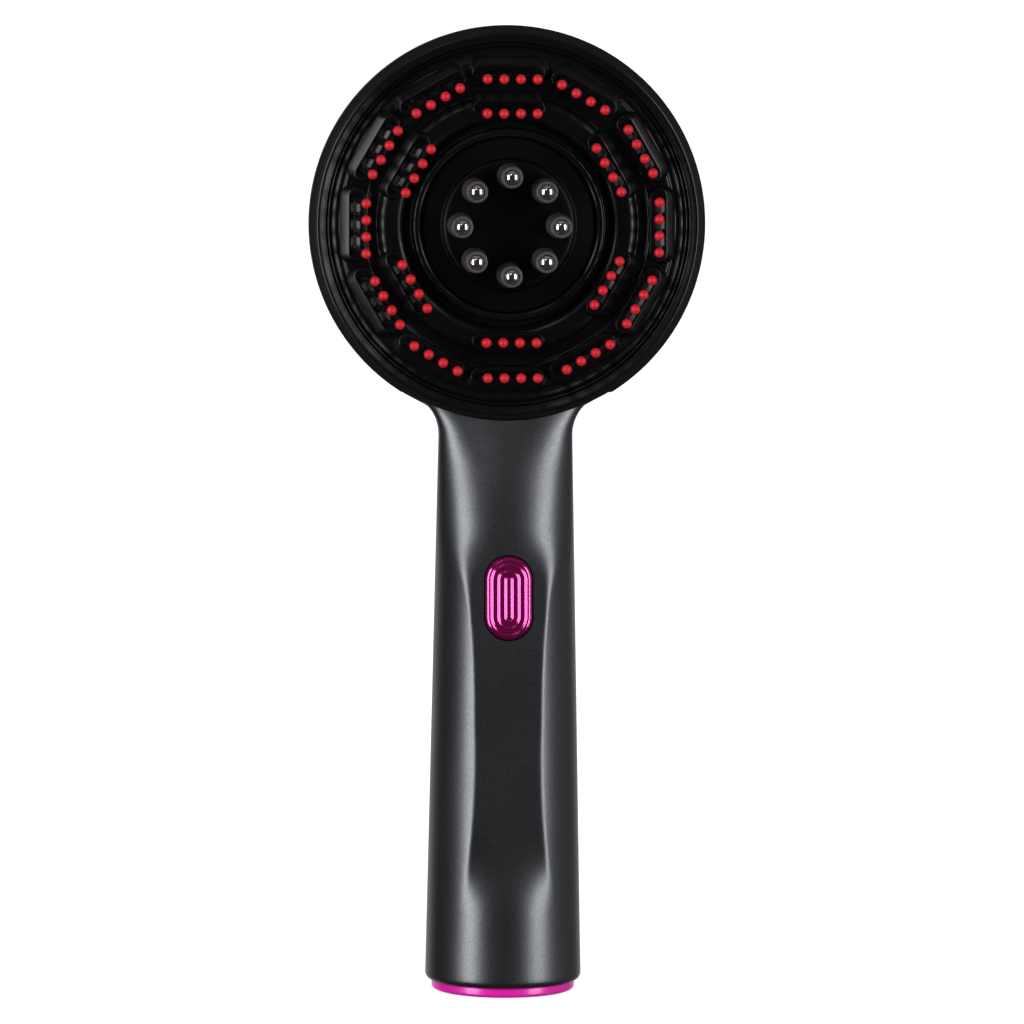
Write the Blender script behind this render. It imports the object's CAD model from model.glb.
import math
from collections import namedtuple
import bpy
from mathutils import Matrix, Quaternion, Vector


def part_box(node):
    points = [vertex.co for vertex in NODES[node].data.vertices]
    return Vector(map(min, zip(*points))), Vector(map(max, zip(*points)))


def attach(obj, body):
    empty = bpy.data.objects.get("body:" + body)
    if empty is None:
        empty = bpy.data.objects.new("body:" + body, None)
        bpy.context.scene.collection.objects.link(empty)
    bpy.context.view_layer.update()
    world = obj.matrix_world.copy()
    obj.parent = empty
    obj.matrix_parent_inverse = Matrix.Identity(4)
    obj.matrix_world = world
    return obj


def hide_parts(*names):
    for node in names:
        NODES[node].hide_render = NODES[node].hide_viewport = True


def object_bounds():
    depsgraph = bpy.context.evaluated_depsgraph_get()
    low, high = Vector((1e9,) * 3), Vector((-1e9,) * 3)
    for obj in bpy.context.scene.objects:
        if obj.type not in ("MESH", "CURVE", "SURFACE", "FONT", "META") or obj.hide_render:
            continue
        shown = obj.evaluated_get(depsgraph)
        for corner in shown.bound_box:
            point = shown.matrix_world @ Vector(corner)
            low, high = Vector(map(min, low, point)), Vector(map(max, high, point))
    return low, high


bl_info = {
    "name": "Scalp massager",
    "version": (1, 0, 0),
    "blender": (4, 5, 0),
    "location": "View3D > Sidebar > Massager",
    "description": "Models and finishes a handheld scalp massager round its construction model",
    "category": "Object",
}

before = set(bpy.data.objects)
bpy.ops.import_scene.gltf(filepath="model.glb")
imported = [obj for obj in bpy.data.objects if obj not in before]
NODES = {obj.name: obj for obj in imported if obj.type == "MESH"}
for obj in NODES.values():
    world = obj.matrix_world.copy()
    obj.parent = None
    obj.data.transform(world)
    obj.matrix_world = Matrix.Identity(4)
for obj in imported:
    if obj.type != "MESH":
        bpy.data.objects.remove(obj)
CAD_BOX = [list(corner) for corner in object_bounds()]

MM = 0.001  # everything below is worked out in millimetres
WELD = 0.004 * MM  # points nearer than this become one
FACE_TURN = math.radians(90)  # from lying flat to facing forwards, along -Y


def corners(node):
    """A node's lowest and highest corner, in millimetres."""
    return [[round(c / MM, 3) for c in corner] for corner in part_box(node)]


def middle(node):
    return [round((low + high) / 2, 3) for low, high in zip(*corners(node))]


def over_head(node):
    """How far a node's middle stands above the head's centre."""
    return round(middle(node)[2] - HEAD_Z, 3)


# Places that come from the construction model. Depths count from the plane where its two shells meet.
HEAD_Z = middle("comb_plate")[2]
HEAD_R = round(CAD_BOX[1][2] / MM, 3) - HEAD_Z
DOME_D = corners("rear_housing")[1][1]
PLATE_R = corners("comb_plate")[1][0]
OUTER_ROW_R = over_head("outer_comb_01")
INNER_ROW_R = over_head("inner_comb_1")
DISC_R = corners("applicator_disc")[1][0]
NOZZLES = sum(name.startswith("roller_ball") for name in NODES)
NOZZLE_RING_R = over_head("roller_ball_1")
BALL_D = -middle("roller_ball_1")[1]
FOOT_R = -corners("handle_front_cover")[0][1]
CAP_R, CAP_H = corners("base_cap")[1][0], corners("base_cap")[1][2]
BUTTON_Z = middle("power_button")[2]
BUTTON_TOP, BUTTON_BACK = -corners("power_button")[0][1], -corners("power_button")[1][1]
SOCKET_Z = middle("charge_socket")[2]

# Sizes that the model's boxes don't show.
FOOT_Z = 3.8  # where the rounded edge of the foot ends
FOOT_EDGE = 1.6
NECK_Z = 130.0  # where the handle's straight taper ends
NECK_R = 15.6
NECK_FILLET = 9.7
SEAM = 0.12  # how far each shell's skin stands back from the seam between them
RIM_SIDE = 3.6  # height of the rim's straight side
RIM_RELIEF = 0.56
RIM_RELIEF_HALF_ANGLE = math.radians(31)
RIM_GAP = 0.05  # between the rim and the front cover's upper edge
SEAT_R = 40.2  # the ledge in the rim on which the comb plate lies
SEAT_D = 2.2
SPIGOT_R = 41.95  # bore of the rim's collar inside the dome
PLATE_BACK = 1.2
BUTTON_HALF = 5.5
BUTTON_RUN = 8.4  # straight length between the button's round ends
BUTTON_GAP = 0.25
DISC_BACK = 5.4
BOSS_R = 15.4  # the disc's raised middle
SLEEVE_R = 2.95
BALL_R = 2.0

# The combs.
PINS = 4
PIN_PITCH = 3.85
PIN_RUN = 12.4  # straight length of a comb's strip, slot and mound
PIN_OFFSET = 0.62  # how far the pins stand inwards of the row's middle
PIN_SINK = 0.37  # how far under the row's height they start
TIP_R = 1.15
STRIP_HALF = 1.8
STRIP_GAP = 0.1
MOUND_HALF = 3.05
MOUND_BASE = 2.3
MOUND_CROWN = 0.16  # how much of a mound's slope is crowned, and how it fades round the ends
MOUND_FADE = 1.3
TROUGH_R = 1.24
TROUGH_FLOOR = -0.74  # from the row's height down to where the trough is moved
SLOPE_R = 1.6  # further out than this a mound slopes
# A mound's side, up from the plate's face: how far inwards, how far over the height of its row.
MOUND_SIDE = [(0.0, -0.85), (0.02, -0.6), (0.04, -0.3), (0.07, 0.0), (0.11, 0.28), (0.18, 0.46), (0.3, 0.58)]

# Flexible pins never stand quite alike: how far each comb's lean inwards and sideways, in degrees.
OUTER_LEANS = [(7.2, 0.8), (6.5, -2.9), (4.2, -0.8), (5.5, 0.7), (4.5, 0.6), (1.6, -2.9), (2.0, -2.6),
               (1.9, -1.4), (9.5, -5.2), (9.6, -2.5), (8.2, 0.7), (9.1, -1.1)]
INNER_LEANS = [(4.8, 0.2), (5.4, -1.1), (7.3, 0.6), (1.7, -0.4), (4.3, -3.7), (9.8, 1.7)]

# The rows of combs: name, radius, the height that their forms are counted from, how much narrower their strips
# are than an outer one's, how far their mounds slope outwards, and the leans.
ROWS = [("outer_comb_{:02d}", OUTER_ROW_R, 4.4, 0.0, 0.65, OUTER_LEANS),
        ("inner_comb_{}", INNER_ROW_R, 6.0, 0.4, 0.58, INNER_LEANS)]
Comb = namedtuple("Comb", "name radius angle top trim slope inwards sideways")

# The stage, in metres.
FLOOR_R = 30
FLOOR_GAP = 0.0002  # between the floor and the base cap
BOXES_AIM = (0, 0, 0.12)
CAMERA_PLACE = (-0.11234, -1.575, 0.252)
CAMERA_AIM = (0.00162, 0, 0.1118)
CAMERA_ROLL = math.radians(0.29)
CAMERA_LENS = 239.2  # in millimetres, on a sensor 36 wide


# ---- small sums ----

def linear(hex_text):
    """An sRGB hex colour as linear red, green, blue and alpha."""
    channels = [int(hex_text[i:i + 2], 16) / 255 for i in (1, 3, 5)]
    return tuple(c / 12.92 if c <= 0.04045 else ((c + 0.055) / 1.055) ** 2.4 for c in channels) + (1.0,)


def smooth_step(x, low, high):
    t = min(max((x - low) / (high - low), 0.0), 1.0)
    return t * t * (3 - 2 * t)


def smooth_min(a, b, width):
    h = max(width - abs(a - b), 0.0) / width
    return min(a, b) - h * h * width / 4


def smooth_max(a, b, width):
    return -smooth_min(-a, -b, width)


def mixed(a, b, share):
    return a * (1 - share) + b * share


def along(line, z):
    """The value at z on a smooth line through (z, value) points."""
    if z <= line[0][0]:
        return line[0][1]
    if z >= line[-1][0]:
        return line[-1][1]
    i = max(k for k in range(len(line) - 1) if line[k][0] <= z)
    slopes = []
    for k in (i, i + 1):
        a, b = line[max(k - 1, 0)], line[min(k + 1, len(line) - 1)]
        slopes.append((b[1] - a[1]) / (b[0] - a[0]))
    (z0, v0), (z1, v1) = line[i], line[i + 1]
    run = z1 - z0
    t = (z - z0) / run
    return ((2 * t ** 3 - 3 * t ** 2 + 1) * v0 + (t ** 3 - 2 * t ** 2 + t) * run * slopes[0]
            + (3 * t ** 2 - 2 * t ** 3) * v1 + (t ** 3 - t ** 2) * run * slopes[1])


# ---- the handle's form, in millimetres ----

# Depth of the handle's front face at each height: the grip, the thumb rest and the scooped neck.
FRONT_FACE = [(13, 14.0), (20, 14.3), (28, 14.85), (37, 15.35), (46, 15.5), (56, 15.4), (65, 15.1),
              (72, 14.9), (79, 14.6), (83.5, 14.35), (88, 14.0), (93, 13.6), (97.5, 13.15), (101.4, 12.7),
              (110, 11.6), (118, 10.1), (125, 8.2), (131, 6.2), (136, 4.6), (142, 3.8)]
# Width of the blend between that face and the round sides: crisp along the grip, soft at both ends.
FACE_BLEND = [(18, 2), (26, 0.6), (40, 0.35), (88, 0.35), (96, 0.9), (104, 3), (114, 5), (140, 6)]

# From which height to which one form turns into the next.
ROUND_TO_FACE = (19, 39)
FACE_TO_OVAL = (97, 110)
OVAL_FILLS = (122, 136)
CORE_BLENDS = (131, 139)
CORE_FADES = (140, 158)

# How full an oval is, where 2 means an ellipse.
OVAL_FULLNESS = 2.1
OVAL_GAIN = 0.7  # how much fuller the front's is at the top of the neck
DOME_FULLNESS = 2.3

BEND_Z = 118.0  # the front cover's rows are level up to here, then bend to follow the rim
JOIN_Z = 133.2  # the rear shell's rows are spaced evenly up to here, then as on a disc
FLARE_END = 139.6  # where the neck's fillets have run out
FLARE_BLEND = 0.8
HEAD_ALONE = 145  # above this the head alone sets the width
CORE_HALF = NECK_R + 4  # half the width of the handle's core inside the dome
CORE_BLEND = 4.5  # width of the blend between core and dome, at the middle of the back
CREASE = 0.02  # and at the seam
FOOT_ROWS = 5  # rows up the foot's rounded edge


def foot_height(row):
    return FOOT_Z - FOOT_EDGE * math.cos(math.pi / 2 * row / FOOT_ROWS)


def grip_radius(z):
    if z < FOOT_Z:
        return FOOT_R - FOOT_EDGE + math.sqrt(max(FOOT_EDGE ** 2 - (FOOT_Z - z) ** 2, 0))
    if z < NECK_Z:
        return FOOT_R + (NECK_R - FOOT_R) * (z - FOOT_Z) / (NECK_Z - FOOT_Z)
    return NECK_R


def neck_half_width(z):
    """Half the handle's width, with the fillets that flare out under the head."""
    if z <= NECK_Z:
        return grip_radius(z)
    rise = min(z - NECK_Z, NECK_FILLET - 0.05)
    return NECK_R + NECK_FILLET - math.sqrt(NECK_FILLET ** 2 - rise ** 2)


def front_depth(across, z, inset):
    """Depth of the front surface; across runs from -1 to 1 over the handle's width."""
    face = along(FRONT_FACE, z) - inset
    round_side = (grip_radius(z) - inset) * math.sqrt(max(1 - across ** 2, 0))
    flattened = smooth_min(round_side, face, along(FACE_BLEND, z))
    # Towards the foot the flat face swells back into the round one.
    flattened = mixed(flattened, round_side, 1 - smooth_step(z, *ROUND_TO_FACE))
    # Above the thumb rest the flat face ends and the section becomes an oval.
    fullness = OVAL_FULLNESS + OVAL_GAIN * smooth_step(z, *OVAL_FILLS)
    oval = face * max(1 - abs(across) ** fullness, 0) ** (1 / fullness)
    return max(mixed(flattened, oval, smooth_step(z, *FACE_TO_OVAL)), 0)


def dome_depth(r, edge_r, depth):
    if r >= edge_r:
        return 0.0
    return depth * (1 - (r / edge_r) ** DOME_FULLNESS) ** (1 / DOME_FULLNESS)


def core_depth(x, half, z, inset):
    """Depth of the handle's round back, which runs on inside the dome and sinks into it."""
    share = min(abs(x) / half, 1) if half > 0 else 1
    return (grip_radius(z) - inset) * math.sqrt(max(1 - share ** 2, 0)) * (1 - smooth_step(z, *CORE_FADES))


# ---- ways of making a mesh ----

def deselect():
    if bpy.context.object and bpy.context.object.mode != "OBJECT":
        bpy.ops.object.mode_set(mode="OBJECT")
    bpy.ops.object.select_all(action="DESELECT")


def only(piece):
    deselect()
    piece.select_set(True)
    bpy.context.view_layer.objects.active = piece


def weld():
    """Ends the editing of a mesh: points that meet are joined, and its faces turned outwards."""
    bpy.ops.mesh.select_all(action="SELECT")
    bpy.ops.mesh.remove_doubles(threshold=WELD)
    bpy.ops.mesh.normals_make_consistent(inside=False)
    bpy.ops.object.mode_set(mode="OBJECT")


def eased(profile, radius):
    """The profile with each inner corner rounded by up to that radius."""
    points = [profile[0]]
    for before, corner, after in zip(profile, profile[1:], profile[2:]):
        a, c, b = Vector(before), Vector(corner), Vector(after)
        reach = min(radius, (a - c).length * 0.45, (b - c).length * 0.45)
        start, end = c + (a - c).normalized() * reach, c + (b - c).normalized() * reach
        for t in (0, 0.33, 0.67, 1):
            points.append(tuple(start * (1 - t) ** 2 + c * 2 * t * (1 - t) + end * t ** 2))
    points.append(profile[-1])
    return points


def turned(name, profile, segments, closed=False):
    """A ring of edges, extruded and resized along a profile of (radius, height) points."""
    deselect()
    line = list(profile) + ([profile[0]] if closed else [])
    radius, height = line[0]
    bpy.ops.mesh.primitive_circle_add(vertices=segments, radius=max(radius, 0.001) * MM,
                                      location=(0, 0, height * MM), rotation=(0, 0, math.pi / segments))
    piece = bpy.context.object
    piece.name = piece.data.name = name
    bpy.ops.object.transform_apply(location=True, rotation=True, scale=True)
    bpy.ops.object.mode_set(mode="EDIT")
    bpy.ops.mesh.select_all(action="SELECT")
    for (r0, h0), (r1, h1) in zip(line, line[1:]):
        bpy.ops.mesh.extrude_edges_move(TRANSFORM_OT_translate={"value": (0, 0, (h1 - h0) * MM)})
        share = max(r1, 0.001) / max(r0, 0.001)
        bpy.ops.transform.resize(value=(share, share, 1), center_override=(0, 0, h1 * MM))
    weld()
    return piece


def rod(name, radius, low, high, segments=40):
    return turned(name, [(0, low), (radius, low), (radius, high), (0, high)], segments)


def stretched(piece, run, upright=False):
    """Pulls the halves of a turned piece apart, which makes it a stadium."""
    axis = 1 if upright else 0
    only(piece)
    bpy.ops.object.mode_set(mode="EDIT")
    bpy.ops.mesh.select_mode(type="VERT")
    for side in (-1, 1):
        bpy.ops.mesh.select_all(action="DESELECT")
        bpy.ops.object.mode_set(mode="OBJECT")
        for v in piece.data.vertices:
            v.select = v.co[axis] * side > 0
        bpy.ops.object.mode_set(mode="EDIT")
        step = [0, 0, 0]
        step[axis] = side * run / 2 * MM
        bpy.ops.transform.translate(value=step)
    bpy.ops.mesh.select_all(action="SELECT")
    bpy.ops.mesh.normals_make_consistent(inside=False)
    bpy.ops.object.mode_set(mode="OBJECT")
    return piece


def copied(piece, name):
    twin = piece.copy()
    twin.data = piece.data.copy()
    twin.name = twin.data.name = name
    bpy.context.scene.collection.objects.link(twin)
    return twin


def moved(piece, place=(0, 0, 0), turn=(0, 0, 0)):
    """Puts a piece in its place, in millimetres, and bakes that into its mesh."""
    only(piece)
    piece.location = [x * MM for x in place]
    piece.rotation_euler = turn
    bpy.ops.object.transform_apply(location=True, rotation=True, scale=True)
    return piece


def on_ring(piece, radius, angle):
    """Moves a piece from the middle of the flat head to that radius, its +Y pointing outwards."""
    moved(piece, turn=(0, 0, angle - math.pi / 2))
    return moved(piece, place=(radius * math.cos(angle), radius * math.sin(angle), 0))


def on_head(piece):
    """From the flat head frame, where Z is depth, to the head's place on the handle."""
    head_z = bpy.context.scene.massager_sizes.head_height / MM
    return moved(piece, place=(0, 0, head_z), turn=(FACE_TURN, 0, 0))


def joined(name, pieces):
    deselect()
    for piece in pieces:
        piece.select_set(True)
    bpy.context.view_layer.objects.active = pieces[0]
    bpy.ops.object.join()
    pieces[0].name = pieces[0].data.name = name
    return pieces[0]


def opened(piece, tool):
    """Cuts the tool out of the piece and removes it."""
    only(piece)
    cut = piece.modifiers.new("cut", "BOOLEAN")
    cut.operation = "DIFFERENCE"
    cut.solver = "EXACT"
    cut.object = tool
    bpy.ops.object.modifier_apply(modifier=cut.name)
    bpy.data.objects.remove(tool)


def walled(name, outer, inner):
    """A closed shell from two grids of points with the same rows and columns."""
    rows, columns = len(outer), len(outer[0])
    points = [[c * MM for c in p] for grid in (outer, inner) for row in grid for p in row]
    count = rows * columns
    faces = []
    for r in range(rows - 1):
        for c in range(columns - 1):
            a = r * columns + c
            b, d, e = a + 1, a + columns + 1, a + columns
            faces.append((a, b, d, e))
            faces.append((count + e, count + d, count + b, count + a))
    edge = ([(0, c) for c in range(columns)] + [(r, columns - 1) for r in range(1, rows)]
            + [(rows - 1, c) for c in range(columns - 2, -1, -1)] + [(r, 0) for r in range(rows - 2, 0, -1)])
    loop = [r * columns + c for r, c in edge]
    for a, b in zip(loop, loop[1:] + loop[:1]):
        faces.append((b, a, count + a, count + b))
    mesh = bpy.data.meshes.new(name)
    mesh.from_pydata(points, [], faces)
    piece = bpy.data.objects.new(name, mesh)
    bpy.context.scene.collection.objects.link(piece)
    only(piece)
    bpy.ops.object.mode_set(mode="EDIT")
    weld()
    return piece


def finished(piece, body, slot, node, *materials, sharp=32):
    """Shades the piece, gives it its materials, and says what it moves with and which node it stands for."""
    only(piece)
    bpy.ops.object.shade_smooth_by_angle(angle=math.radians(sharp))
    for material in materials:
        piece.data.materials.append(material)
    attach(piece, body)
    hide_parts(node)


def two_toned(piece, first, second, is_second):
    """Gives the piece two materials, the second one for the faces that the test picks by their middle."""
    piece.data.materials.append(first)
    piece.data.materials.append(second)
    for face in piece.data.polygons:
        face.material_index = int(is_second(face.center))


# ---- materials ----

def add(tree, kind, inputs=None, **settings):
    """Adds a node with its settings, and fills its inputs with values or links."""
    made = tree.nodes.new(kind)
    for key, value in settings.items():
        setattr(made, key, value)
    for key, value in (inputs or {}).items():
        if isinstance(value, bpy.types.NodeSocket):
            tree.links.new(value, made.inputs[key])
        else:
            made.inputs[key].default_value = value
    return made


def ramp(tree, value, start, end, low=0.0, high=1.0, curve="LINEAR"):
    """Maps the value from start to end onto low to high."""
    return add(tree, "ShaderNodeMapRange", {"Value": value, "From Min": start, "From Max": end, "To Min": low,
                                            "To Max": high}, interpolation_type=curve).outputs["Result"]


def emptied(data):
    """The node tree of a new material or world, with nothing in it."""
    data.use_nodes = True
    data.node_tree.nodes.clear()
    return data.node_tree


CLOUD_MM = 25  # how wide the faint changes of a surface's roughness are


def surfaced(name, dark, light, roughness, grain_mm, bump_mm, spread=0.06, rough_spread=0.05, specular=0.5,
             **shader):
    """A material whose colour, roughness and surface all vary with one grain of a real size."""
    if name in bpy.data.materials:
        return bpy.data.materials[name]
    material = bpy.data.materials.new(name)
    tree = emptied(material)
    place = add(tree, "ShaderNodeTexCoord").outputs["Object"]
    grain = add(tree, "ShaderNodeTexNoise", {"Vector": place, "Scale": 1 / (grain_mm * MM), "Detail": 3.0,
                                             "Roughness": 0.55}).outputs["Fac"]
    cloud = add(tree, "ShaderNodeTexNoise", {"Vector": place, "Scale": 1 / (CLOUD_MM * MM),
                                             "Detail": 2.0}).outputs["Fac"]
    tone = ramp(tree, grain, 0.5 - spread * 4, 0.5 + spread * 4)
    colour = add(tree, "ShaderNodeMix", {"Factor": tone, "A": linear(dark), "B": linear(light)},
                 data_type="RGBA").outputs[2]
    wear = ramp(tree, cloud, 0.3, 0.7, roughness - rough_spread, roughness + rough_spread)
    bump = add(tree, "ShaderNodeBump", {"Height": grain, "Strength": 1.0, "Distance": bump_mm * MM})
    shade = add(tree, "ShaderNodeBsdfPrincipled", {"Base Color": colour, "Roughness": wear,
                                                   "Normal": bump.outputs["Normal"],
                                                   "Specular IOR Level": specular, **shader})
    add(tree, "ShaderNodeOutputMaterial", {"Surface": shade.outputs["BSDF"]})
    return material


def chosen(part, share=1.0):
    """A colour of the panel as sRGB hex, made darker or lighter by that share."""
    colour = getattr(bpy.context.scene.massager_colours, part)
    encoded = [c * 12.92 if c <= 0.0031308 else 1.055 * c ** (1 / 2.4) - 0.055 for c in colour]
    return "#" + "".join(f"{round(min(max(c * share, 0), 1) * 255):02x}" for c in encoded)


def charcoal_lacquer():
    # ABS sprayed with a metallic charcoal lacquer: fine flakes sparkle inside a broad, soft sheen.
    # Real flakes are about 0.03 mm; they are drawn 0.3 mm wide so that they show.
    return surfaced("charcoal_lacquer", chosen("handle", 0.88), chosen("handle", 1.14), roughness=0.35,
                    grain_mm=0.30, bump_mm=0.003, spread=0.05, rough_spread=0.02,
                    **{"Metallic": 0.93, "Coat Weight": 0.1, "Coat Roughness": 0.3})


def spark_eroded_black():
    # Black ABS from a spark-eroded mould: an even matt grain that scatters every highlight.
    return surfaced("spark_eroded_black_abs", chosen("head", 0.85), chosen("head", 1.3), roughness=0.56,
                    grain_mm=0.45, bump_mm=0.02, rough_spread=0.03, specular=0.15)


def satin_black():
    # Black ABS from a lightly polished mould: deep black with soft, narrow lines of light on each edge.
    return surfaced("satin_black_abs", "#08080a", "#0c0c0e", roughness=0.27, grain_mm=0.8, bump_mm=0.002,
                    spread=0.08, rough_spread=0.04, specular=0.3)


def disc_black():
    # The applicator's cover, the same plastic with a silkier face.
    return surfaced("silky_black_abs", "#020203", "#040405", roughness=0.42, grain_mm=0.5, bump_mm=0.004,
                    spread=0.08, rough_spread=0.04, specular=0.12)


def smoky_nylon():
    # Dark nylon, moulded glossy: nearly black, with small glassy highlights down each pin.
    return surfaced("smoky_nylon", "#09090b", "#111114", roughness=0.26, grain_mm=0.6, bump_mm=0.002,
                    spread=0.08, rough_spread=0.04, specular=0.3)


def red_dip():
    # The tips' epoxy dip: saturated red with a soft gloss.
    return surfaced("red_epoxy_dip", chosen("tips", 0.9), chosen("tips"), roughness=0.46, grain_mm=0.5,
                    bump_mm=0.002, spread=0.08, specular=0.4)


def smoky_sleeve():
    # Smoke-tinted clear plastic with a lightly frosted skin: light passes and comes back grey-brown.
    return surfaced("smoky_clear_plastic", "#5a5552", "#7c7672", roughness=0.24, grain_mm=0.8, bump_mm=0.004,
                    spread=0.08, **{"Transmission Weight": 0.5, "IOR": 1.49})


def bearing_steel():
    # Hardened, polished ball steel: a mirror with the faintest clouding.
    return surfaced("polished_bearing_steel", "#c9cacc", "#e2e3e4", roughness=0.12, grain_mm=1.5,
                    bump_mm=0.0005, spread=0.1, rough_spread=0.03, **{"Metallic": 1.0})


def magenta_chrome():
    # ABS vacuum-metallised under a magenta lacquer: a coloured mirror, its clear coat adding whiter lights.
    return surfaced("magenta_chrome", chosen("button", 0.94), chosen("button"), roughness=0.17, grain_mm=1.2,
                    bump_mm=0.0, spread=0.1, rough_spread=0.02,
                    **{"Metallic": 0.82, "Coat Weight": 1.0, "Coat Roughness": 0.1})


def magenta_foot():
    # A magenta lacquer with hardly any metal in it on the base cap: even and bright.
    return surfaced("magenta_satin_lacquer", chosen("base_cap", 0.97), chosen("base_cap"), roughness=0.3,
                    grain_mm=1.2, bump_mm=0.001, spread=0.1, rough_spread=0.04,
                    **{"Metallic": 0.1, "Coat Weight": 0.4, "Coat Roughness": 0.12})


CLEAR = {"Transmission Weight": 0.35, "IOR": 1.49}
COATED = {"Coat Weight": 0.3}
METAL = {"Metallic": 1.0}

# The pieces inside keep their own form. To the eye they give dull grained plastics, a milky tank, glossy
# boards and film, and metals with a soft sheen. Name, dark and light colour, roughness, grain and bump in
# millimetres, more shader inputs, and the nodes that wear it.
INNER_FINISHES = [
    ("glass_filled_nylon", "#26262a", "#38383c", 0.52, 0.4, 0.02, {},
     ["comb_retainer", "button_guide", "inner_chassis", "motor_bracket"]),
    ("frosted_tank_plastic", "#8b867f", "#a09a93", 0.34, 0.8, 0.006, CLEAR, ["oil_tank"]),
    ("black_silicone", "#121213", "#1c1c1d", 0.62, 0.4, 0.01, {}, ["tank_seal"]),
    ("white_acetal", "#dcd9d0", "#ebe8df", 0.38, 0.6, 0.004, {},
     ["switch_plunger"] + [f"valve_plunger_{i + 1}" for i in range(NOZZLES)]),
    ("green_solder_mask", "#0c3d24", "#14552f", 0.36, 0.7, 0.01, COATED, ["main_board", "charge_board"]),
    ("dark_switch_resin", "#2a2a2e", "#3a3a3f", 0.48, 0.4, 0.01, {}, ["tact_switch"]),
    ("teal_shrink_film", "#0f6472", "#1a7d8c", 0.28, 3.0, 0.02, COATED, ["battery"]),
    ("bright_nickel", "#a9a69d", "#c4c1b8", 0.26, 0.5, 0.004, METAL,
     ["battery_contacts", "charge_socket", "tapping_screws"]),
    ("rolled_motor_steel", "#9a9b9d", "#b4b5b7", 0.36, 0.6, 0.006, METAL, ["vibration_motor", "motor_shaft"]),
    ("turned_brass", "#a8843e", "#c29c50", 0.30, 0.4, 0.006, METAL, ["eccentric_weight"]),
    ("red_silicone_lead", "#9c1018", "#b81820", 0.50, 0.5, 0.006, {}, ["internal_leads"]),
]


def paper_sweep():
    # White paper: it shows white and keeps the shadow close to the object. Only the camera meets it, so that
    # the tall soft boxes are mirrored down to the foot.
    material = bpy.data.materials.new("white_paper_sweep")
    tree = emptied(material)
    place = add(tree, "ShaderNodeTexCoord").outputs["Object"]
    away = add(tree, "ShaderNodeVectorMath", {0: place}, operation="LENGTH").outputs["Value"]
    glow = ramp(tree, away, 0.03, 0.25, 0.8, 1.0, "SMOOTHSTEP")
    paper = add(tree, "ShaderNodeBsdfDiffuse", {"Color": linear("#e6e6e6")})
    light = add(tree, "ShaderNodeEmission", {"Color": (1, 1, 1, 1), "Strength": glow})
    both = add(tree, "ShaderNodeAddShader", {0: paper.outputs[0], 1: light.outputs[0]})
    none = add(tree, "ShaderNodeBsdfTransparent")
    seen = add(tree, "ShaderNodeLightPath").outputs["Is Camera Ray"]
    sheet = add(tree, "ShaderNodeMixShader", {0: seen, 1: none.outputs[0], 2: both.outputs[0]})
    add(tree, "ShaderNodeOutputMaterial", {"Surface": sheet.outputs[0]})
    return material


def larger(tree, a, b):
    return add(tree, "ShaderNodeMath", {0: a, 1: b}, operation="MAXIMUM").outputs[0]


def studio_air():
    # Bright behind the object and dark in front of it, where the soft boxes stand.
    world = bpy.data.worlds.new("studio_air")
    tree = emptied(world)
    rays = add(tree, "ShaderNodeLightPath").outputs
    way = add(tree, "ShaderNodeTexCoord").outputs["Generated"]
    way = add(tree, "ShaderNodeSeparateXYZ", {0: way}).outputs
    # How bright each side is where mirrored: axis, where its glow starts, its level.
    gloom = 0.03
    glow = gloom
    for axis, start, level in (("Y", 0.55, 0.6), ("X", 0.6, 0.18), ("Z", 0.6, 0.2)):
        glow = larger(tree, glow, ramp(tree, way[axis], start, 1.0, gloom, level, "SMOOTHSTEP"))
    # How it lights what doesn't mirror, and white where it is looked at or through something clear.
    light = ramp(tree, way["Y"], 0.0, 0.9, 0.07, 0.5, "SMOOTHSTEP")
    level = add(tree, "ShaderNodeMix", {"Factor": rays["Is Glossy Ray"], "A": light, "B": glow}).outputs[0]
    seen = larger(tree, rays["Is Camera Ray"], rays["Is Transmission Ray"])
    level = add(tree, "ShaderNodeMix", {"Factor": seen, "A": level, "B": 1.0}).outputs[0]
    air = add(tree, "ShaderNodeBackground", {"Color": (1, 1, 1, 1), "Strength": level})
    add(tree, "ShaderNodeOutputWorld", {"Surface": air.outputs[0]})
    return world


# ---- sizes and colours ----

class MassagerSizes(bpy.types.PropertyGroup):
    head_height: bpy.props.FloatProperty(
        name="Head height", description="Height of the head's centre over the base",
        default=HEAD_Z * MM, min=0.15, max=0.22, unit="LENGTH")
    head_radius: bpy.props.FloatProperty(
        name="Head radius", description="Outer radius of the head",
        default=HEAD_R * MM, min=0.04, max=0.05, unit="LENGTH")
    dome_depth: bpy.props.FloatProperty(
        name="Dome depth", description="Depth of the head's domed back",
        default=DOME_D * MM, min=0.015, max=0.024, unit="LENGTH")
    wall: bpy.props.FloatProperty(
        name="Wall", description="Wall of the handle and the dome",
        default=0.0019, min=0.001, max=0.002, unit="LENGTH")
    button_height: bpy.props.FloatProperty(
        name="Button height", description="Height of the button's centre over the base",
        default=BUTTON_Z * MM, min=0.09, max=0.096, unit="LENGTH")
    button_groove: bpy.props.FloatProperty(
        name="Button groove", description="Depth of the grooves between the button's ridges",
        default=0.00017, min=0.0001, max=0.0006, unit="LENGTH")
    pin_length: bpy.props.FloatProperty(
        name="Pin length", description="Length of a comb's pin up to the middle of its tip",
        default=0.0115, min=0.009, max=0.0115, unit="LENGTH")


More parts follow.
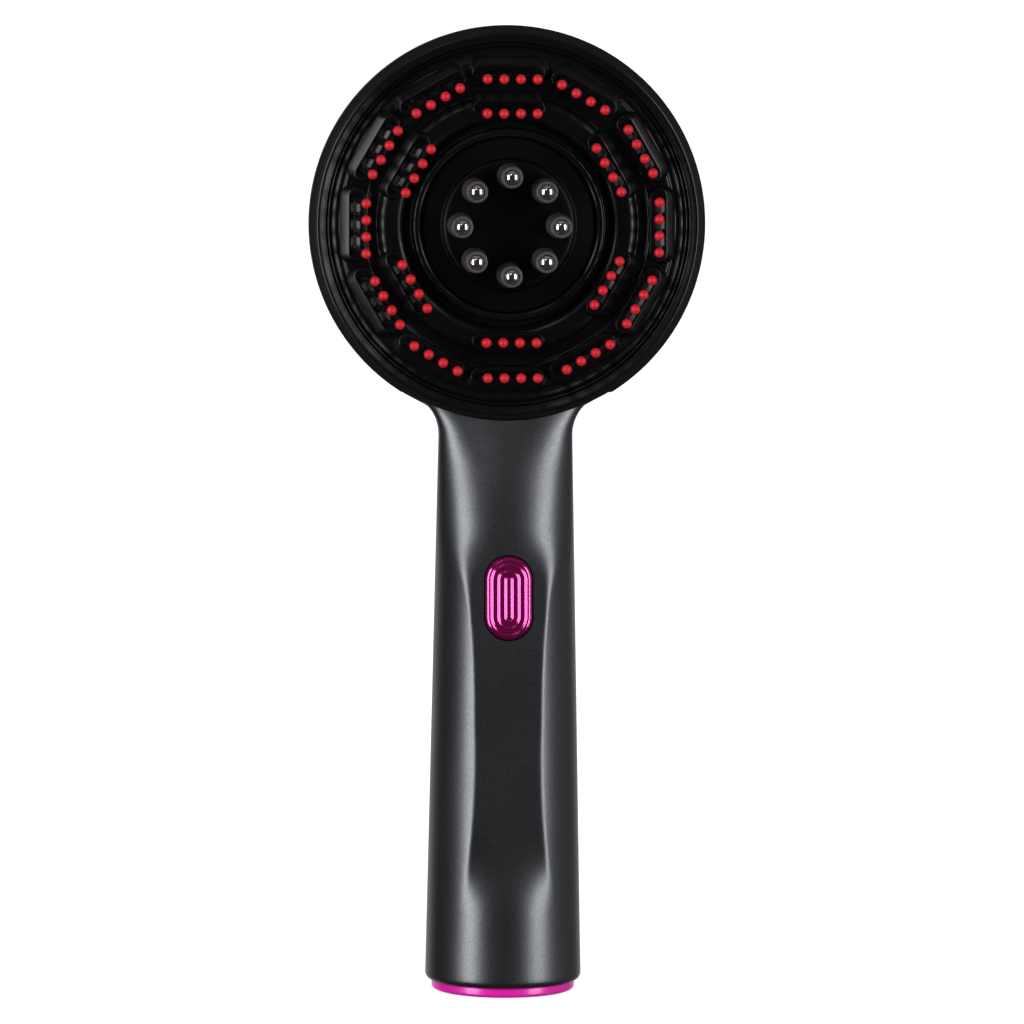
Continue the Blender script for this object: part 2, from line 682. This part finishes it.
class MassagerColours(bpy.types.PropertyGroup):
    handle: bpy.props.FloatVectorProperty(
        name="Handle", description="Lacquer of the handle and the head's back",
        default=linear("#57595c")[:3], subtype="COLOR")
    head: bpy.props.FloatVectorProperty(
        name="Rim", description="Moulded black of the rim", default=linear("#131314")[:3], subtype="COLOR")
    tips: bpy.props.FloatVectorProperty(
        name="Tips", description="Dip on the comb tips", default=linear("#e01c2a")[:3], subtype="COLOR")
    button: bpy.props.FloatVectorProperty(
        name="Button", description="Magenta lacquer of the power button",
        default=linear("#bd187a")[:3], subtype="COLOR")
    base_cap: bpy.props.FloatVectorProperty(
        name="Base cap", description="Magenta lacquer of the base cap",
        default=linear("#f824bc")[:3], subtype="COLOR")


# ---- pieces ----

def seam_gap(column, columns, inset):
    """How far a point of a shell's outer skin stands back from the seam."""
    return SEAM if column in (0, columns - 1) and inset == 0 else 0


def cover_height(row, rows, across, inset, head_z, rim_r):
    """Height of the front cover's points: level rows at first, and bent ones that end along the rim."""
    level_rows = 112
    if row < FOOT_ROWS:
        return foot_height(row)
    if row <= level_rows:
        return FOOT_Z + (BEND_Z - FOOT_Z) * (row - FOOT_ROWS) / (level_rows - FOOT_ROWS)
    share = (row - level_rows) / (rows - level_rows)
    z = BEND_Z
    # The width at the point's own height says where it meets the rim, so the height is closed in on.
    for _ in range(12):
        x = (neck_half_width(z) - inset) * across
        top = head_z - math.sqrt(rim_r ** 2 - x ** 2)
        z = BEND_Z + (top - BEND_Z) * share
    return z


class MASSAGER_OT_front_cover(bpy.types.Operator):
    """The handle's front half, with its facet, the scooped neck and the button's opening"""
    bl_idname = "massager.front_cover"
    bl_label = "Front cover"

    def execute(self, context):
        # The soft blends between facet, scoop and neck are one surface given by height and width.
        sizes = context.scene.massager_sizes
        head_z = sizes.head_height / MM
        rim_r = sizes.head_radius / MM - RIM_RELIEF + RIM_GAP
        rows, columns = 150, 133
        grids = []
        for inset in (0.0, sizes.wall / MM):
            grid = []
            for r in range(rows + 1):
                row = []
                for c in range(columns):
                    across = -math.cos(math.pi * c / (columns - 1))
                    z = cover_height(r, rows, across, inset, head_z, rim_r)
                    x = (neck_half_width(z) - inset - seam_gap(c, columns, inset)) * across
                    row.append((x, -front_depth(across, z, inset), z))
                grid.append(row)
            grids.append(grid)
        cover = walled("handle_cover_shell", *grids)
        through = 30
        opening = rod("opening", BUTTON_HALF + BUTTON_GAP, -through, 0, segments=48)
        stretched(opening, BUTTON_RUN, upright=True)
        moved(opening, place=(0, 0, sizes.button_height / MM), turn=(FACE_TURN, 0, 0))
        opened(cover, moved(opening, place=(0, -through - 1, 0)))
        finished(cover, "housing", "pearl_charcoal", "handle_front_cover", charcoal_lacquer())
        return {"FINISHED"}


def rear_row(level, columns, inset, head_z, head_r, dome_d):
    """One level row of the rear shell, from seam to seam round the back."""
    radius = head_r - inset
    disc = math.sqrt(max(radius ** 2 - (level - head_z) ** 2, 0))
    neck, core_half = 0, CORE_HALF - inset
    if level < FLARE_END:
        neck = neck_half_width(level) - inset
        core_half = min(neck, core_half)
    half = max(disc if level > HEAD_ALONE else smooth_max(disc, neck, FLARE_BLEND), 0.0)
    row = []
    for c in range(columns):
        turn = math.pi * c / (columns - 1)
        x = max(half - seam_gap(c, columns, inset), 0) * math.cos(turn)
        dome = dome_depth(math.hypot(x, level - head_z), radius, dome_d - inset)
        core = core_depth(x, core_half, level, inset)
        blend = CORE_BLEND * smooth_step(level, *CORE_BLENDS) * math.sin(turn) + CREASE
        depth = smooth_max(dome, core, blend) if dome > 0 else core
        row.append((x, min(depth, dome_d) if c not in (0, columns - 1) else 0.0, level))
    return row


class MASSAGER_OT_rear_shell(bpy.types.Operator):
    """The handle's rear half and the head's domed back, with the charge socket's opening"""
    bl_idname = "massager.rear_shell"
    bl_label = "Rear shell"

    def execute(self, context):
        # Handle and dome flow into each other without an edge, so both are one surface.
        sizes = context.scene.massager_sizes
        head_z, head_r = sizes.head_height / MM, sizes.head_radius / MM
        dome_d = sizes.dome_depth / MM
        columns, neck_rows, head_rows = 97, 70, 90
        first = math.acos((head_z - JOIN_Z) / head_r)
        heights = ([foot_height(k) for k in range(FOOT_ROWS)]
                   + [FOOT_Z + (JOIN_Z - FOOT_Z) * k / neck_rows for k in range(neck_rows)]
                   + [head_z - head_r * math.cos(first + (math.pi - first) * k / head_rows)
                      for k in range(head_rows + 1)])
        grids = []
        for inset in (0.0, sizes.wall / MM):
            radius = head_r - inset
            levels = [head_z + (z - head_z) * radius / head_r if z > JOIN_Z else z for z in heights]
            grids.append([rear_row(level, columns, inset, head_z, head_r, dome_d) for level in levels])
        shell = walled("rear_shell_moulding", *grids)
        socket_r, socket_run, through = 1.8, 5.7, 12
        opening = stretched(rod("opening", socket_r, 0, through), socket_run)
        moved(opening, turn=(FACE_TURN, 0, 0))
        opened(shell, moved(opening, place=(0, 2 * through, SOCKET_Z)))
        finished(shell, "housing", "pearl_charcoal", "rear_housing", charcoal_lacquer())
        return {"FINISHED"}


class MASSAGER_OT_rim(bpy.types.Operator):
    """The rounded rim round the head, stepped in where it passes over the neck"""
    bl_idname = "massager.rim"
    bl_label = "Rim ring"

    def execute(self, context):
        head_r = context.scene.massager_sizes.head_radius / MM
        width, rise, crown, bore_r = 2.0, 2.3, 0.22, PLATE_R + 0.1
        # A chamfer with a slight crown, up to a crisp inner edge.
        band = [(head_r - width * t, RIM_SIDE + rise * t + crown * math.sin(math.pi * t))
                for t in (k / 9 for k in range(6))]
        inner_edge = eased([band[-1], (head_r - width, 5.95), (PLATE_R + 0.75, 5.4), (bore_r, 5.2),
                            (bore_r, 3.6)], 0.45)
        profile = ([(head_r - 2.35, 0.0), (head_r - SEAM, 0.0), (head_r, SEAM)] + band + inner_edge[1:]
                   + [(bore_r, SEAT_D), (SEAT_R, SEAT_D), (SEAT_R, 0.8), (SPIGOT_R, 0.8), (SPIGOT_R, -2.3),
                      (43.6, -2.3)])
        rim = turned("rim_ring_moulding", profile, 240, closed=True)
        neck_r = (head_r - RIM_RELIEF) * MM
        for v in rim.data.vertices:
            r = math.hypot(v.co.x, v.co.y)
            off = abs(math.atan2(v.co.x, -v.co.y))
            if r > neck_r and off < RIM_RELIEF_HALF_ANGLE:
                v.co.x *= neck_r / r
                v.co.y *= neck_r / r
        # The mould is polished again from the crisp inner edge on.
        polished_r = (head_r - width + 0.25) * MM
        two_toned(rim, spark_eroded_black(), satin_black(), lambda place: math.hypot(*place.xy) < polished_r)
        finished(on_head(rim), "housing", "black_textured", "rim_ring")
        return {"FINISHED"}


def clockwise(index, count):
    """The angle of one of several places round the head, counted from the top."""
    return math.radians(90 - 360 / count * index)


def comb_places():
    for name, radius, top, trim, slope, row in ROWS:
        for i, leans in enumerate(row):
            yield Comb(name.format(i + 1), radius, clockwise(i, len(row)), top, trim, slope, *leans)


def drawn_in(piece, top, slope=0.0):
    """Moves the pins' trough off the middle of a round mound, and slopes the mound's outer side up to it."""
    start, end = MOUND_SIDE[0][1], MOUND_SIDE[-1][1]
    for v in piece.data.vertices:
        radius = math.hypot(v.co.x, v.co.y)
        if radius > SLOPE_R * MM:
            # Slightly crowned, full on the side away from the head's middle and fading round the ends.
            rise = min(max((v.co.z / MM - (top + start)) / (end - start), 0), 1)
            fade = ((1 + v.co.y / radius) / 2) ** MOUND_FADE
            share = slope * rise * (1 - MOUND_CROWN + MOUND_CROWN * rise) * fade
            v.co.x *= 1 - share
            v.co.y *= 1 - share
        elif v.co.z / MM > top + TROUGH_FLOOR:
            v.co.y -= PIN_OFFSET * MM
    return piece


def mound_round(comb):
    half = MOUND_HALF - comb.trim * 0.625
    slot_half = STRIP_HALF + 2 * STRIP_GAP - comb.trim / 2
    profile = ([(half, MOUND_BASE)] + [(half - inwards, comb.top + rise) for inwards, rise in MOUND_SIDE]
               + [(1.55, comb.top + 0.66), (1.36, comb.top + 0.64), (TROUGH_R, comb.top + 0.5),
                  (TROUGH_R, comb.top - 0.7), (slot_half, comb.top - 0.75), (slot_half, MOUND_BASE)])
    made = turned("mound", eased(profile, 0.12), 64, closed=True)
    drawn_in(made, comb.top, comb.slope)
    return on_ring(stretched(made, PIN_RUN), comb.radius, comb.angle)


def slot_for(comb):
    made = rod("slot", STRIP_HALF + STRIP_GAP - comb.trim / 2, -5, 20)
    return on_ring(stretched(made, PIN_RUN), comb.radius, comb.angle)


class MASSAGER_OT_comb_tray(bpy.types.Operator):
    """The stepped black face that carries the combs, with a sloped mound round each comb"""
    bl_idname = "massager.comb_tray"
    bl_label = "Comb tray"

    def execute(self, context):
        o, n, d = OUTER_ROW_R, INNER_ROW_R, DISC_R
        groove, terrace, inner_groove, lip = 3.0, 3.5, 3.7, 8.0
        # The ring under the inner row, flat in the middle and rounded by arcs on both sides.
        ring_r, ring_half, fall = 2.5, 0.85, range(66, -1, -6)
        ring = [(n - 0.55 + side * ring_half + ring_r * math.sin(side * math.radians(k)),
                 terrace + ring_r * math.cos(math.radians(k)))
                for side in (1, -1) for k in fall[::side]]
        steps = ([(PLATE_R, SEAT_D), (PLATE_R, 4.5), (PLATE_R - 0.5, 4.4), (PLATE_R - 1.2, 3.4),
                  (PLATE_R - 2.2, groove), (o + 3.2, groove), (o + 2.7, 3.4), (o + 2.2, terrace),
                  (o - 2.2, terrace), (o - 2.8, 3.4), (o - 3.2, groove), (n + 2.6, groove)]
                 + ring
                 + [(n - 3.7, inner_groove), (d + 2.1, inner_groove), (d + 1.95, 7.5), (d + 1.6, lip),
                    (d + 0.6, lip), (d + 0.1, 7.6), (d + 0.1, PLATE_BACK)])
        profile = eased(steps, 0.35) + [(SEAT_R - 0.1, PLATE_BACK), (SEAT_R - 0.1, SEAT_D)]
        tray = turned("comb_tray_moulding", profile, 216, closed=True)
        mounds = [mound_round(comb) for comb in comb_places()]
        opened(tray, joined("slots", [slot_for(comb) for comb in comb_places()]))
        tray = joined("comb_tray_moulding", [tray] + mounds)
        finished(on_head(tray), "housing", "black_satin", "comb_plate", satin_black(), sharp=40)
        return {"FINISHED"}


def pin_with_tip(length):
    """A tapered pin with its ball tip, up to whose middle it is that long."""
    shaft = [(1.05, 0.0), (1.0, 1.1), (0.84, 4.5), (0.68, 8.5), (0.6, length - 1.35)]
    ball = [(TIP_R * math.sin(a), length - TIP_R * math.cos(a))
            for a in (math.radians(30 + 12.5 * k) for k in range(12))]
    pin = turned("pin", shaft + ball + [(0, length + TIP_R)], 24)
    two_toned(pin, smoky_nylon(), red_dip(), lambda place: place.z > (length - TIP_R + 0.1) * MM)
    return pin


def strip_of(comb):
    """A comb's strip, with the shallow trough from which its pins stand."""
    top, half = comb.top, STRIP_HALF - comb.trim / 2
    profile = [(0, 0.2), (half + 0.8, 0.2), (half + 0.8, 1.2), (half, 1.2), (half, top - 0.75),
               (TROUGH_R - 0.03, top - 0.72), (TROUGH_R - 0.03, top + 0.46), (1.08, top + 0.5),
               (0.12, top - 0.2), (0, top - 0.2)]
    made = stretched(drawn_in(turned("strip", eased(profile, 0.08), 40), top), PIN_RUN)
    made.data.materials.append(smoky_nylon())
    return made


class MASSAGER_OT_combs(bpy.types.Operator):
    """The comb strips with their pins and red ball tips"""
    bl_idname = "massager.combs"
    bl_label = "Combs"

    def execute(self, context):
        pin = pin_with_tip(context.scene.massager_sizes.pin_length / MM)
        for comb in comb_places():
            parts = [strip_of(comb)]
            for k in range(PINS):
                one = moved(copied(pin, "pin_copy"),
                            turn=(math.radians(comb.inwards), math.radians(comb.sideways), 0))
                across = (k - (PINS - 1) / 2) * PIN_PITCH
                parts.append(moved(one, place=(across, -PIN_OFFSET, comb.top - PIN_SINK)))
            whole = on_ring(joined(comb.name + "_pins", parts), comb.radius, comb.angle)
            finished(on_head(whole), "housing", "comb_nylon", comb.name, sharp=40)
        bpy.data.objects.remove(pin)
        return {"FINISHED"}


class MASSAGER_OT_applicator(bpy.types.Operator):
    """The applicator disc with the eight nozzle openings"""
    bl_idname = "massager.applicator"
    bl_label = "Applicator disc"

    def execute(self, context):
        d, b = DISC_R, BOSS_R
        profile = [(0, DISC_BACK), (d, DISC_BACK), (d, 6.6), (d - 0.3, 6.8), (b + 0.5, 7.1), (b + 0.1, 7.2),
                   (b - 0.1, 7.9), (b - 0.7, 8.3), (b - 1.6, 8.42), (8.0, 8.6), (0, 8.7)]
        disc = turned("applicator_cover", eased(profile, 0.3), 192)
        holes = [on_ring(rod("hole", SLEEVE_R + 0.05, 0, 20), NOZZLE_RING_R, clockwise(i, NOZZLES))
                 for i in range(NOZZLES)]
        opened(disc, joined("holes", holes))
        finished(on_head(disc), "applicator", "black_satin", "applicator_disc", disc_black())
        return {"FINISHED"}


class MASSAGER_OT_nozzles(bpy.types.Operator):
    """The eight clear sleeves and their steel roller balls"""
    bl_idname = "massager.nozzles"
    bl_label = "Nozzles and balls"

    def execute(self, context):
        b, r, foot, back = BALL_D, SLEEVE_R, DISC_BACK - 0.02, DISC_BACK - 1
        throat, seat, bore = 1.2, 1.8, BALL_R + 0.08
        outline = [(throat, back), (r + 0.65, back), (r + 0.65, foot), (r, foot), (r, 9.6), (2.62, b - 0.6),
                   (2.55, b + 0.9), (2.35, b + 1.3), (seat, b + 1.3), (seat, b + 0.95), (bore, b + 0.6),
                   (bore, 12.2), (throat, 12.2)]
        sleeve = turned("sleeve", eased(outline, 0.14), 56, closed=True)
        steps = 36
        arc = [(BALL_R * math.sin(math.pi * k / steps), b - BALL_R * math.cos(math.pi * k / steps))
               for k in range(steps + 1)]
        ball = turned("ball", arc, 56)
        for i in range(NOZZLES):
            angle, number = clockwise(i, NOZZLES), i + 1
            one = on_ring(copied(sleeve, f"nozzle_sleeve_{number}_clear"), NOZZLE_RING_R, angle)
            finished(on_head(one), "applicator", "sleeve_plastic", "nozzle_sleeves", smoky_sleeve())
            node = f"roller_ball_{number}"
            one = on_ring(copied(ball, node + "_steel"), NOZZLE_RING_R, angle)
            finished(on_head(one), f"ball_{number}", "polished_steel", node, bearing_steel())
        bpy.data.objects.remove(sleeve)
        bpy.data.objects.remove(ball)
        return {"FINISHED"}


class MASSAGER_OT_button(bpy.types.Operator):
    """The power button, with its rim and concentric ridges, following the handle's face"""
    bl_idname = "massager.button"
    bl_label = "Power button"

    def execute(self, context):
        sizes = context.scene.massager_sizes
        groove = sizes.button_groove / MM
        half, top, back = BUTTON_HALF, BUTTON_TOP, BUTTON_BACK
        flange_r, flange_back, flange_front = half + 0.8, back + 0.5, back + 0.75
        face_half, grooves = 4.62, (3.95, 2.37, 0.75)
        profile = [(0, flange_back), (flange_r, flange_back), (flange_r, flange_front), (half, flange_front),
                   (half, top - 0.95), (half - 0.14, top - 0.6), (half - 0.5, top - 0.2), (face_half, top)]
        for line in grooves:
            profile += [(line + 0.33, top), (line + 0.03, top - groove), (line - 0.03, top - groove),
                        (line - 0.33, top)]
        button = turned("power_button_cap", eased(profile + [(0, top)], 0.07), 112)
        stretched(button, BUTTON_RUN, upright=True)
        button = joined("power_button_cap", [button, rod("post", 1.7, back, back + 0.65)])
        # The cap's face follows the handle's, and its foot stays level.
        bend_start, face_level = 10.95, 13.2
        for v in button.data.vertices:
            share = smooth_step(v.co.z / MM, bend_start, face_level)
            face = along(FRONT_FACE, (sizes.button_height + v.co.y) / MM)
            v.co.z += share * (face - face_level) * MM
        moved(button, place=(0, 0, sizes.button_height / MM), turn=(FACE_TURN, 0, 0))
        finished(button, "button", "magenta_metallised", "power_button", magenta_chrome(), sharp=50)
        return {"FINISHED"}


class MASSAGER_OT_base_cap(bpy.types.Operator):
    """The magenta cap under the handle"""
    bl_idname = "massager.base_cap"
    bl_label = "Base cap"

    def execute(self, context):
        recess, bevel, r = 0.25, 0.5, CAP_R
        profile = [(0, recess), (r - 2.1, recess), (r - 1.7, 0.0), (r - bevel, 0.0), (r, bevel), (r, CAP_H),
                   (0, CAP_H)]
        cap = turned("base_cap_moulding", eased(profile, 0.3), 160)
        finished(cap, "housing", "magenta_metallised", "base_cap", magenta_foot())
        return {"FINISHED"}


class MASSAGER_OT_inner_finishes(bpy.types.Operator):
    """Materials for the pieces inside, which keep their own form"""
    bl_idname = "massager.inner_finishes"
    bl_label = "Inner finishes"

    def execute(self, context):
        for *finish, more, nodes in INNER_FINISHES:
            material = surfaced(*finish, **more)
            for node in nodes:
                piece = NODES[node]
                if not piece.material_slots:
                    piece.data.materials.append(material)
                for holder in piece.material_slots:
                    holder.material = material
        return {"FINISHED"}


def facing(place, target):
    """The turn that points a light or a camera at the target."""
    return (Vector(target) - Vector(place)).to_track_quat("-Z", "Y")


def placed(name, data, place):
    thing = bpy.data.objects.new(name, data)
    bpy.context.scene.collection.objects.link(thing)
    thing.location = place
    return thing


class MASSAGER_OT_studio(bpy.types.Operator):
    """The white paper floor, the soft lights and the camera"""
    bl_idname = "massager.studio"
    bl_label = "Studio"

    def execute(self, context):
        deselect()
        bpy.ops.mesh.primitive_circle_add(vertices=96, radius=FLOOR_R, fill_type="NGON",
                                          location=(0, 0, -FLOOR_GAP))
        floor = context.object
        floor.name = floor.data.name = "studio_floor"
        bpy.ops.object.transform_apply(location=True)
        floor.data.materials.append(paper_sweep())
        context.scene.world = studio_air()

        # Two tall soft boxes in front on either side, and a weak one high up. Place, width, height, power.
        for name, place, size, power in (
                ("soft_box_left", (-1.06, -0.75, 0.22), (0.5, 1.35), 14),
                ("soft_box_right", (0.99, -0.84, 0.25), (0.5, 1.3), 12),
                ("soft_box_front", (-0.5, -1.6, 1.5), (0.5, 0.5), 2)):
            light = bpy.data.lights.new(name, "AREA")
            light.shape = "RECTANGLE"
            light.size, light.size_y = size
            light.energy = power
            placed(name, light, place).rotation_euler = facing(place, BOXES_AIM).to_euler()

        # A long lens from a metre and a half away, a little above and to the left.
        camera = bpy.data.cameras.new("camera")
        camera.sensor_width = 36
        camera.lens = CAMERA_LENS
        camera.clip_end = 100
        eye = placed("camera", camera, CAMERA_PLACE)
        roll = Quaternion((0, 0, 1), CAMERA_ROLL)
        eye.rotation_euler = (facing(CAMERA_PLACE, CAMERA_AIM) @ roll).to_euler()
        context.scene.camera = eye
        context.scene.view_settings.view_transform = "Standard"
        return {"FINISHED"}


PIECE_OPERATORS = (MASSAGER_OT_front_cover, MASSAGER_OT_rear_shell, MASSAGER_OT_rim, MASSAGER_OT_comb_tray,
                   MASSAGER_OT_combs, MASSAGER_OT_applicator, MASSAGER_OT_nozzles, MASSAGER_OT_button,
                   MASSAGER_OT_base_cap, MASSAGER_OT_inner_finishes, MASSAGER_OT_studio)


class MASSAGER_PT_panel(bpy.types.Panel):
    bl_idname = "MASSAGER_PT_panel"
    bl_label = "Scalp massager"
    bl_space_type = "VIEW_3D"
    bl_region_type = "UI"
    bl_category = "Massager"

    def draw(self, context):
        for group in (context.scene.massager_sizes, context.scene.massager_colours):
            for key in group.__annotations__:
                self.layout.prop(group, key)
        for operator in PIECE_OPERATORS:
            self.layout.operator(operator.bl_idname)


CLASSES = (MassagerSizes, MassagerColours, *PIECE_OPERATORS, MASSAGER_PT_panel)


def register():
    for cls in CLASSES:
        bpy.utils.register_class(cls)
    bpy.types.Scene.massager_sizes = bpy.props.PointerProperty(type=MassagerSizes)
    bpy.types.Scene.massager_colours = bpy.props.PointerProperty(type=MassagerColours)


def unregister():
    del bpy.types.Scene.massager_colours
    del bpy.types.Scene.massager_sizes
    for cls in reversed(CLASSES):
        bpy.utils.unregister_class(cls)


def main():
    register()
    bpy.ops.massager.front_cover()
    bpy.ops.massager.rear_shell()
    bpy.ops.massager.rim()
    bpy.ops.massager.comb_tray()
    bpy.ops.massager.combs()
    bpy.ops.massager.applicator()
    bpy.ops.massager.nozzles()
    bpy.ops.massager.button()
    bpy.ops.massager.base_cap()
    bpy.ops.massager.inner_finishes()
    bpy.ops.massager.studio()


if __name__ == "__main__":
    main()
